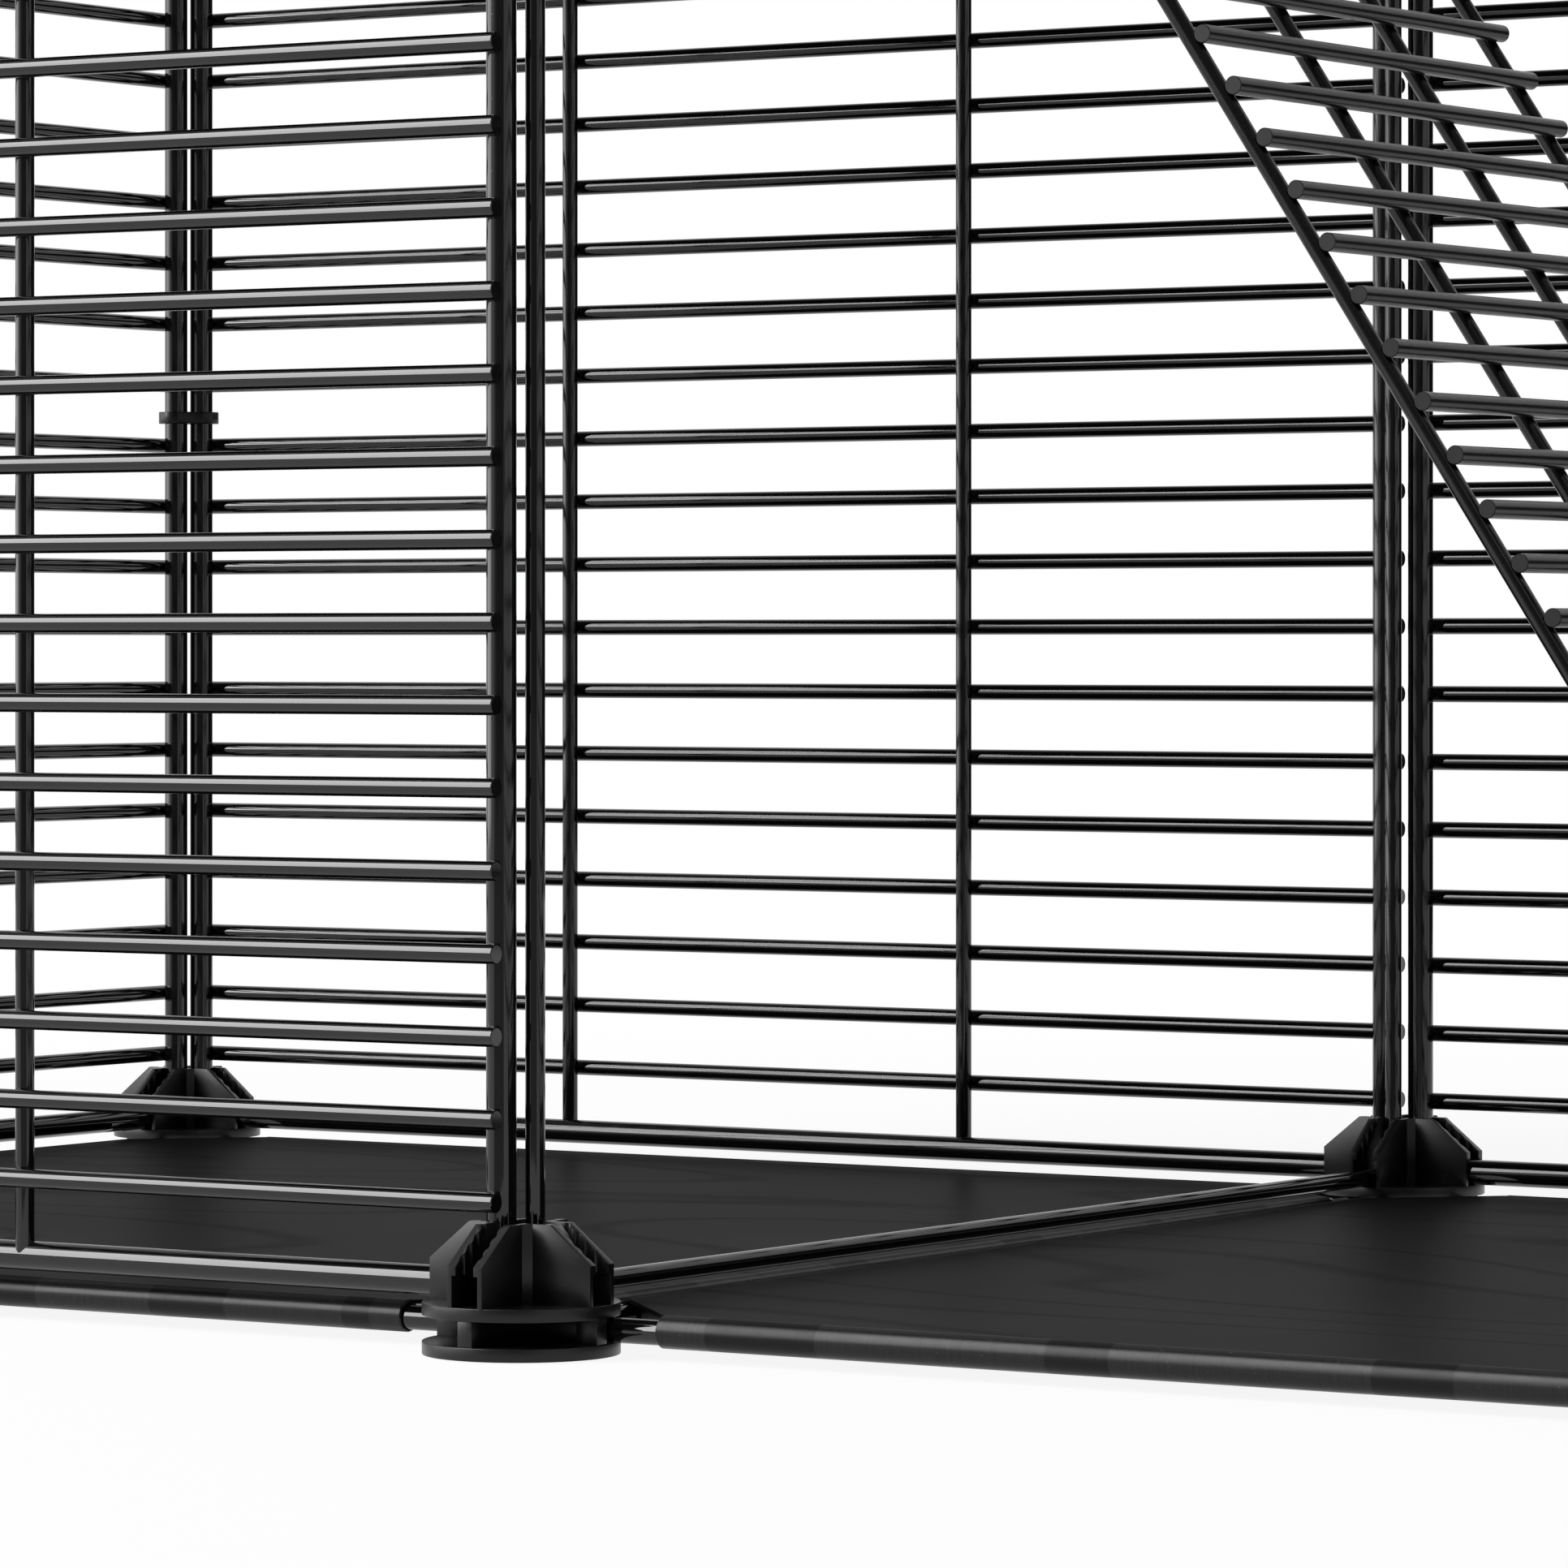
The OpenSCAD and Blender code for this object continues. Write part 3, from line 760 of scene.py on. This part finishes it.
def sheet_shape(m):
    """The sheet with cut corners and its four sleeves, from the corner of the wires' axes."""
    shape = bmesh.new()
    inset = 0.5 * MM
    cut, end, low = m.floor.cut, m.span, m.floor.rise
    near, far = cut - inset, end - cut + inset
    outline = [(near, inset), (far, inset), (end - inset, near), (end - inset, far),
               (far, end - inset), (near, end - inset), (inset, far), (inset, near)]
    add_prism(shape, outline, low, low + m.floor.sheet)
    x, y = Vector((1, 0, 0)), Vector((0, 1, 0))
    for start, along, side in (((cut, 0, 0), x, y), ((cut, end, 0), x, y),
                               ((0, cut, 0), y, x), ((end, cut, 0), y, x)):
        add_sleeve(shape, m, Vector(start), along, side)
    return shape


class CATCAGE_OT_floor_sheets(Operator):
    """Makes the plastic sheets that are wrapped round the floor wires"""
    bl_idname = "catcage.floor_sheets"
    bl_label = "Floor Sheets"

    def execute(self, context):
        m = measures()
        for name, bay, level in FLOORS:
            piece = made(name + "_wrap", sheet_shape(m), [dull_sheet(), stretched_sleeve()])
            piece.data.transform(floor_place(m, bay, level))
            settled(piece, [name + "_sheet"], "cage")
        return {"FINISHED"}


# Connectors

OVERLAP = 0.04 * MM  # depth by which fins and webs sink into their disc
SAME = 1e-7  # points of a fin that are closer than this, in metres, are one
DIGITS = 7


def add_disc(shape, radius, low, high, rim):
    """A flat disc with a rounded rim."""
    sides, inner = 72, radius - rim
    quarter = [pi / 2 * i / 3 for i in range(4)]
    profile = [(inner + rim * sin(a), low + rim - rim * cos(a)) for a in quarter]
    profile += [(inner + rim * cos(a), high - rim + rim * sin(a)) for a in quarter]
    rings = [[shape.verts.new((r * cos(a), r * sin(a), z)) for a in full_turn(sides)]
             for r, z in profile]
    shape.faces.new(rings[0][::-1])
    shape.faces.new(rings[-1])
    skinned(shape, rings)


def lip_edge(m, x):
    """Distance of a lip's wavy face from the middle of its slot."""
    p = m.plug
    tool = p.groove / 2
    deep = 0.0
    for i in range(p.grooves):
        off = x - p.reach + p.groove_pitch * (i + 1)
        if abs(off) < tool:
            deep = max(deep, p.groove_depth - tool + sqrt(tool ** 2 - off ** 2))
    return m.fin_slot / 2 - p.lip + deep


def lip_stops(m, start, knee):
    """Distances from the post at which a lip's outline has a point."""
    p = m.plug
    half = sqrt((p.groove / 2) ** 2 - (p.groove / 2 - p.groove_depth) ** 2)
    stops = {round(x, DIGITS) for x in (start, knee, p.fin_flat, p.reach)}
    for i in range(p.grooves):
        at = p.reach - p.groove_pitch * (i + 1)
        stops |= {round(at - half * cos(pi * k / 6), DIGITS) for k in range(7)}
    return sorted(x for x in stops if start - SAME < x < p.reach + SAME)


def add_fins(shape, m, base, turn):
    """Two fins on a disc that meet in a sloped strip, each with a grooved lip over its wire.

    The outlines are for the fin along X; the one along Y has X and Y swapped.
    """
    p = m.plug
    inner, reach, flat, high = m.fin_slot / 2, p.reach, p.fin_flat, p.fin_height
    outer = inner + p.fin
    strip = outer + p.strip / sqrt(2)
    start, knee = m.seat + m.frame_r + p.lip_clear, m.seat + m.wire.bend
    ledge = m.wire.frame_wire + p.fit + p.lip_clear

    def top(x):
        return high - max(0.0, x - flat) * (high - p.fin_edge) / (reach - flat)

    def under(x):
        return ledge + max(0.0, knee - x) * (high - ledge) / (knee - start)

    def lip(near, far, height):
        return [(x, lip_edge(m, x), height(x)) for x in stops if near - SAME <= x <= far + SAME]

    stops = lip_stops(m, start, knee)
    low_lip, high_lip = lip(start, reach, under), lip(start, reach, top)
    slope_end = (reach, outer, top(reach))
    arm = [[(inner, inner, 0), (reach, inner, 0), (reach, inner, ledge), (knee, inner, ledge),
            (start, inner, high), (inner, inner, high)],
           [(start, inner, high), (knee, inner, ledge)] + lip(start, knee, under)[::-1],
           [(knee, inner, ledge), (reach, inner, ledge)] + lip(knee, reach, under)[::-1],
           lip(flat, reach, top) + [slope_end, (flat, outer, high)],
           [(reach, inner, 0), (reach, outer, 0), slope_end, high_lip[-1], low_lip[-1],
            (reach, inner, ledge)],
           [(reach, outer, 0), (strip, outer, 0), (strip, outer, high), (flat, outer, high),
            slope_end]]
    for i in range(len(stops) - 1):
        arm.append([low_lip[i], low_lip[i + 1], high_lip[i + 1], high_lip[i]])
    floor = [(inner, inner, 0), (reach, inner, 0), (reach, outer, 0), (strip, outer, 0)]
    roof = ([(start, inner, high)] + lip(start, flat, top)
            + [(flat, outer, high), (strip, outer, high)])

    def swap(points):
        return [(y, x, z) for x, y, z in points]

    outlines = arm + [swap(outline) for outline in arm]
    outlines += [floor + swap(floor[:0:-1]), [(inner, inner, high)] + roof + swap(roof[::-1]),
                 [(strip, outer, 0), (outer, strip, 0), (outer, strip, high),
                  (strip, outer, high)]]
    spin = Matrix.Rotation(turn, 3, "Z")
    corners, faces = {}, []
    for outline in outlines:
        ring = []
        for x, y, z in outline:
            key = tuple(round(v, DIGITS) for v in (x, y, z))
            if key not in corners:
                corners[key] = shape.verts.new(spin @ Vector((x, y, base + z)))
            if corners[key] not in ring:
                ring.append(corners[key])
        faces.append(shape.faces.new(ring))
    bmesh.ops.recalc_face_normals(shape, faces=faces)
    return faces


def eased(shape, faces, width, sharp=60.0):
    """Rounds the outer edges of these faces that are sharper than this, in degrees."""
    shape.normal_update()
    edges = {e for f in faces for e in f.edges if len(e.link_faces) == 2
             and e.calc_face_angle_signed(0.0) > radians(sharp)}
    bmesh.ops.bevel(
        shape, geom=list(edges), offset=width, segments=2, profile=0.5, affect="EDGES",
        clamp_overlap=True)


def connector_shape(m, up, down):
    """A connector about the floor panels' plane: two discs, crossed webs between them, fins."""
    p = m.plug
    low = m.slot / 2
    high = low + p.disc_thick
    shape = bmesh.new()
    for side, finned in ((1, up), (-1, down)):
        half = bmesh.new()
        add_disc(half, p.disc / 2, low, high, p.rim)
        if finned:
            for quarter in range(4):
                faces = add_fins(half, m, high - OVERLAP, quarter * pi / 2)
                eased(half, faces, p.edge)
        if side < 0:
            bmesh.ops.scale(half, vec=(1, 1, -1), verts=half.verts)
            bmesh.ops.reverse_faces(half, faces=half.faces)
        mesh = bpy.data.meshes.new("half")
        half.to_mesh(mesh)
        half.free()
        shape.from_mesh(mesh)
        bpy.data.meshes.remove(mesh)
    block, wall, core = p.reach - p.block, p.web / 2, p.core / 2
    arm = [(block, -core), (block, -wall), (p.reach, -wall), (p.reach, wall), (block, wall),
           (block, core), (core, core)]
    outline = []
    for cosine, sine in ((1, 0), (0, 1), (-1, 0), (0, -1)):
        outline += [(x * cosine - y * sine, x * sine + y * cosine) for x, y in arm]
    eased(shape, add_prism(shape, outline, -low - OVERLAP, low + OVERLAP), p.edge)
    return shape


class CATCAGE_OT_connectors(Operator):
    """Makes the moulded connectors at the feet, between the storeys and on top"""
    bl_idname = "catcage.connectors"
    bl_label = "Connectors"

    def execute(self, context):
        m = measures()
        heights, depths = ("foot", "middle", "top"), ("front", "back")
        sides = ("left", "middle", "right")
        for level, line, column in product(range(3), range(2), range(3)):
            name = f"{depths[line]}_{sides[column]}_{heights[level]}"
            shape = connector_shape(m, level < 2, level > 0)
            x, y = (column - 1) * m.posts, line * m.posts
            shape.transform(Matrix.Translation((x, y, m.floor_z + level * m.storey)))
            piece = made(name + "_joint", shape, [satin_plastic()])
            settled(piece, [name + "_connector"], "cage", PLASTIC_CREASE)
        return {"FINISHED"}


# Ladder

class CATCAGE_OT_ladder(Operator):
    """Makes the ladder: four rails, two of them hooked, and the rungs welded on them"""
    bl_idname = "catcage.ladder"
    bl_label = "Ladder"

    def execute(self, context):
        m = measures()
        s = m.ladder
        rail_r, burr, steps = s.rail / 2, 0.15 * MM, 20
        sine, cosine = sin(s.slope), cos(s.slope)
        down, out = Vector((cosine, 0, -sine)), Vector((sine, 0, cosine))
        foot_z = m.floor_z + m.floor.rise + m.floor.sheet + s.gap + cosine * rail_r
        length = (m.hook_z + m.hook_r * cosine - foot_z) / sine
        rung_out = m.hook_r + rail_r + s.rung / 2 - m.wire.thin_weld
        on_rail = out * m.hook_r
        hook_end = pi / 2 - s.slope
        paths = []
        for i in range(s.rails):
            if i in (0, s.rails - 1):
                turn = [pi + (hook_end - pi) * k / steps for k in range(steps + 1)]
                path = [Vector((cos(a), 0, sin(a))) * m.hook_r for a in turn]
                path.insert(1, path[0] + Vector((burr * 0.1, 0, burr)))
            else:
                start = s.first - m.wire.overhang
                path = [on_rail + down * start, on_rail + down * (start + burr)]
            path += [on_rail + down * (length - burr), on_rail + down * length]
            across = Vector((0, (i / (s.rails - 1) - 0.5) * (s.width - 2 * s.inset), 0))
            paths.append([tuple(point + across) for point in path])
        values = {"Wire Radius": rail_r, "Burr": burr, "Sides": 24, "Rungs": 0,
                  "Rung Radius": s.rung / 2, "Rung Length": s.width,
                  "First Rung": tuple(out * rung_out + down * s.first),
                  "Rung Step": tuple(down * s.pitch), "Material": black_coating()}
        rails = grown("ladder_rails", formed_wires_and_rungs, values, drawn(paths))
        values["Rungs"] = int((length - s.first - s.rung) / s.pitch) + 1
        values["Material"] = matt_coating()
        rungs = grown("ladder_rungs", formed_wires_and_rungs, values)
        for piece, nodes in ((rails, ["ladder"]), (rungs, [])):
            piece.data.transform(Matrix.Translation((0, s.middle, m.hook_z)))
            settled(piece, nodes, "ladder_frame")
        return {"FINISHED"}


# Doors, bolts and ties

def on_door(m, storey):
    """The hinge wire's axis with the door along +X and its outside at +Y."""
    opened = m.door.open if storey == 0 else 0.0
    return turned(m.posts, m.seat, storey * m.storey, pi + opened)


class CATCAGE_OT_doors(Operator):
    """Makes the two mesh doors of the right bay"""
    bl_idname = "catcage.doors"
    bl_label = "Doors"

    def execute(self, context):
        m = measures()
        values = wire_values(m, m.door_wide, m.door_high, m.wire.rows - 2, m.wire.uprights, {
            "Row Out": m.row_out, "Upright Out": m.upright_out, "Row End": m.door.stop})
        for storey, level in enumerate(LEVELS):
            matrix = on_door(m, storey) @ Matrix.Translation((m.door.hinge, 0, m.door_z))
            panel(level + "_door_mesh", level + "_door", level + "_door_leaf", matrix, values)
        return {"FINISHED"}


class CATCAGE_OT_bolts(Operator):
    """Makes the sliding bolts of bent wire"""
    bl_idname = "catcage.bolts"
    bl_label = "Bolts"

    def execute(self, context):
        m = measures()
        d = m.door
        chamfer, play, grip_back, steps, crease = 0.5 * MM, 0.15 * MM, 37 * MM, 12, 50.0
        free = d.hinge + m.door_wide
        radius, bend, tip, grip = d.bolt / 2, d.bolt_bend, free + d.bolt_out, free - grip_back
        deep = m.frame_r + play + radius
        high = m.door_z + (int((m.wire.rows - 1) / 2) - 0.5) * m.pitch
        turn = [pi * 1.5 - pi / 2 * k / steps for k in range(steps + 1)]
        path = [(tip, 0), (tip - chamfer, 0)]
        path += [(grip + bend + bend * cos(a), bend + bend * sin(a)) for a in turn]
        path += [(grip, bend + d.grip - chamfer), (grip, bend + d.grip)]
        path = [(x, y - deep, high) for x, y in path]
        values = {"Wire Radius": radius, "Burr": chamfer, "Sides": 28, "Rungs": 0,
                  "Material": black_coating()}
        for storey, level in enumerate(LEVELS):
            piece = grown(level + "_bolt_wire", formed_wires_and_rungs, values, drawn([path]))
            piece.data.transform(on_door(m, storey))
            settled(piece, [level + "_bolt"], level + "_bolt_rod", crease)
        return {"FINISHED"}


def moulded_copy(node, name, body, width):
    """A piece from a CAD node, with its triangles merged and its sharp edges rounded."""
    shape = bmesh.new()
    shape.from_mesh(bpy.data.objects[node].data)
    shape.transform(bpy.data.objects[node].matrix_world)
    bmesh.ops.remove_doubles(shape, verts=shape.verts, dist=1e-6)
    bmesh.ops.dissolve_limit(shape, angle_limit=radians(1.0), verts=shape.verts, edges=shape.edges)
    eased(shape, list(shape.faces), width, 50.0)
    piece = made(name, shape, [satin_plastic()])
    settled(piece, [node], body, PLASTIC_CREASE)


class CATCAGE_OT_small_plastic(Operator):
    """Makes the ring ties, the hinge links and the bolt blocks"""
    bl_idname = "catcage.small_plastic"
    bl_label = "Ties, Links and Blocks"

    def execute(self, context):
        tie_edge, block_edge = 0.2 * MM, 0.3 * MM
        moulded_copy("ring_ties", "corner_ties", "cage", tie_edge)
        for level in LEVELS:
            leaf = level + "_door_leaf"
            moulded_copy(level + "_door_hinge_links", level + "_hinge_clips", leaf, block_edge)
            moulded_copy(level + "_bolt_block", level + "_bolt_guide", leaf, block_edge)
        return {"FINISHED"}


# Stage

def seen(tree):
    """1 on camera, glossy and transmission rays."""
    camera, glossy, through = tree.add("ShaderNodeLightPath", out=(
        "Is Camera Ray", "Is Glossy Ray", "Is Transmission Ray"))
    return camera.math("MAXIMUM", glossy).math("MAXIMUM", through)


def glowing(tree, level):
    """A white glow of this level."""
    return tree.add("ShaderNodeEmission", {"Color": WHITE, "Strength": level})


def shown(tree, shader):
    """Makes a shader the one that a material shows."""
    tree.put(tree.nodes["Material Output"].inputs[0], shader)


def white_room(fill):
    """White behind the cage and in its gloss, and a fill light from all round."""
    world = bpy.data.worlds.new("white_room")
    bpy.context.scene.world = world
    world.use_nodes = True
    tree = Tree(world.node_tree)
    back = tree.nodes["Background"]
    tree.put(back.inputs["Color"], WHITE)
    tree.put(back.inputs["Strength"], fill + seen(tree) * (1.0 - fill))


def paper_floor():
    """White paper that keeps the cage's shadow, has painted shade under the cage and glows fully
    only some way from it.
    """
    half_size, below, half_bay = 12.0, 0.2 * MM, BOXED_POSTS / 2
    painted_shade_in, painted_shade_out = 0.05, 0.03  # metres inside the cage's edges at which the painted shade under it is full and at which it ends
    near, far = 0.55, 1.3  # metres from the front middle foot at which the full glow begins
    paper, tree = fresh("white_paper")
    place, (x, y, _) = coordinates(tree)
    shader = tree.nodes["Principled BSDF"]
    tree.put(shader.inputs["Base Color"],
             shaded(tree, (0.8, 0.8, 0.8), 0.99 + place.speckle(300, 3) * 0.02))
    tree.put(shader.inputs["Roughness"], 0.9)
    tree.put(shader.inputs["Specular IOR Level"], 0.0)
    # Painted shade under the cage: the glow is cut over its footprint, which darkens the floor
    # there.
    under = 1.0
    for off, edge in ((x.math("ABSOLUTE"), BOXED_POSTS),
                      ((y - half_bay).math("ABSOLUTE"), half_bay)):
        under = (1.0 - off.between(edge - painted_shade_in, edge - painted_shade_out)) * under
    away = tree.add("ShaderNodeVectorMath", {0: place}, "Value", operation="LENGTH")
    level = 0.9 + away.between(near, far) * 0.1 - under * 0.7
    shown(tree, tree.add("ShaderNodeMixShader", {
        0: seen(tree) * level, 1: Number(tree, shader.outputs[0]), 2: glowing(tree, 1.0)}))
    shape = bmesh.new()
    bmesh.ops.create_grid(shape, x_segments=8, y_segments=8, size=half_size)
    shape.transform(Matrix.Translation((0, 0, -below)))
    ground = made("studio_floor", shape, [paper])


def softbox(name, place, aim, wide, high, level):
    """A soft rectangular lamp whose face has this brightness."""
    lamp = bpy.data.lights.new(name, "AREA")
    lamp.shape = "RECTANGLE"
    lamp.size, lamp.size_y = wide, high
    lamp.energy = level * 4 * wide * high
    holder = linked(name, lamp)
    holder.location = place
    holder.rotation_euler = (Vector(place) - Vector(aim)).to_track_quat("Z", "Y").to_euler()


def card(name, low, high, bottom, top, away, level, foot=None):
    """A curved card round the cage between two headings in degrees and two heights.

    Its lower edge may be nearer. It glows at the given level and only glossy rays see it, so it is
    a painted reflection that lights nothing.
    """
    steps = 16
    shape = bmesh.new()
    rows = []
    for k in range(steps + 1):
        heading = radians(low + (high - low) * k / steps)
        rows.append([shape.verts.new((reach * cos(heading), reach * sin(heading), z))
                     for reach, z in ((foot or away, bottom), (away, top))])
    for a, b in zip(rows, rows[1:]):
        shape.faces.new((b[0], a[0], a[1], b[1]))
    paint, tree = fresh(name)
    shown(tree, glowing(tree, level))
    holder = made(name, shape, [paint])
    for kind in ("camera", "diffuse", "shadow", "transmission", "volume_scatter"):
        setattr(holder, "visible_" + kind, False)


class CATCAGE_OT_studio(Operator):
    """Sets up the pale floor, the soft light and the camera"""
    bl_idname = "catcage.studio"
    bl_label = "Studio"

    def execute(self, context):
        scene = context.scene
        s = scene.cage_studio
        scene.view_settings.view_transform = "Standard"
        white_room(s.fill)
        paper_floor()
        softbox("softbox", (-1.46, -1.48, 1.68), (-0.1, 0.0, 0.2), 1.3, 2.7, s.softbox)
        softbox("side_light", (-2.3, -0.85, 0.45), (0.0, 0.1, 0.3), 1.9, 0.8, 2.2)
        # Glowing cards seen only in gloss: painted reflections of a dimmer room round the cage.
        card("front_flag", -112, -95, 0.0, 1.2, 3.0, 0.35)
        card("camera_flag", -95, -37, 0.0, 1.2, 3.0, 0.15)
        card("floor_flag", -112, -37, 0.001, 0.001, 3.0, 0.3, 0.25)
        card("front_top_flag", -100, -40, 1.2, 3.6, 3.2, 0.13)
        card("side_flag", 33, 100, 0.0, 0.9, 3.0, 0.04)
        card("ceiling_flag", -180, 180, 3.6, 9.0, 3.4, 0.3)

        lens = bpy.data.cameras.new("camera")
        lens.lens = s.lens
        lens.sensor_width = 36.0
        lens.shift_y = s.shift
        scene.camera = linked("camera", lens)
        scene.camera.location = s.camera
        scene.camera.rotation_euler = (pi / 2, 0, s.heading)
        return {"FINISHED"}


OPERATORS = (CATCAGE_OT_studio, CATCAGE_OT_wall_panels, CATCAGE_OT_roof_panels,
             CATCAGE_OT_dividers, CATCAGE_OT_floor_wires, CATCAGE_OT_floor_sheets,
             CATCAGE_OT_connectors, CATCAGE_OT_ladder, CATCAGE_OT_doors, CATCAGE_OT_bolts,
             CATCAGE_OT_small_plastic)


class CATCAGE_PT_panel(Panel):
    """The cage's pieces and sizes in the 3D view's sidebar"""
    bl_idname = "CATCAGE_PT_panel"
    bl_label = "Cat Cage"
    bl_space_type = "VIEW_3D"
    bl_region_type = "UI"
    bl_category = "Cat Cage"

    def draw(self, context):
        layout = self.layout
        for operator in OPERATORS:
            layout.operator(operator.bl_idname)
        for key, group in GROUPS.items():
            box = layout.box()
            box.label(text=group.__name__.replace("Settings", ""))
            for name in group.__annotations__:
                box.prop(getattr(context.scene, key), name)


CLASSES = tuple(GROUPS.values()) + OPERATORS + (CATCAGE_PT_panel,)


def register():
    for cls in CLASSES:
        bpy.utils.register_class(cls)
    for key, group in GROUPS.items():
        setattr(bpy.types.Scene, key, PointerProperty(type=group))


def unregister():
    for key in GROUPS:
        delattr(bpy.types.Scene, key)
    for cls in reversed(CLASSES):
        bpy.utils.unregister_class(cls)


def main():
    register()
    for operator in OPERATORS:
        group, name = operator.bl_idname.split(".")
        getattr(getattr(bpy.ops, group), name)()


if __name__ == "__main__":
    main()
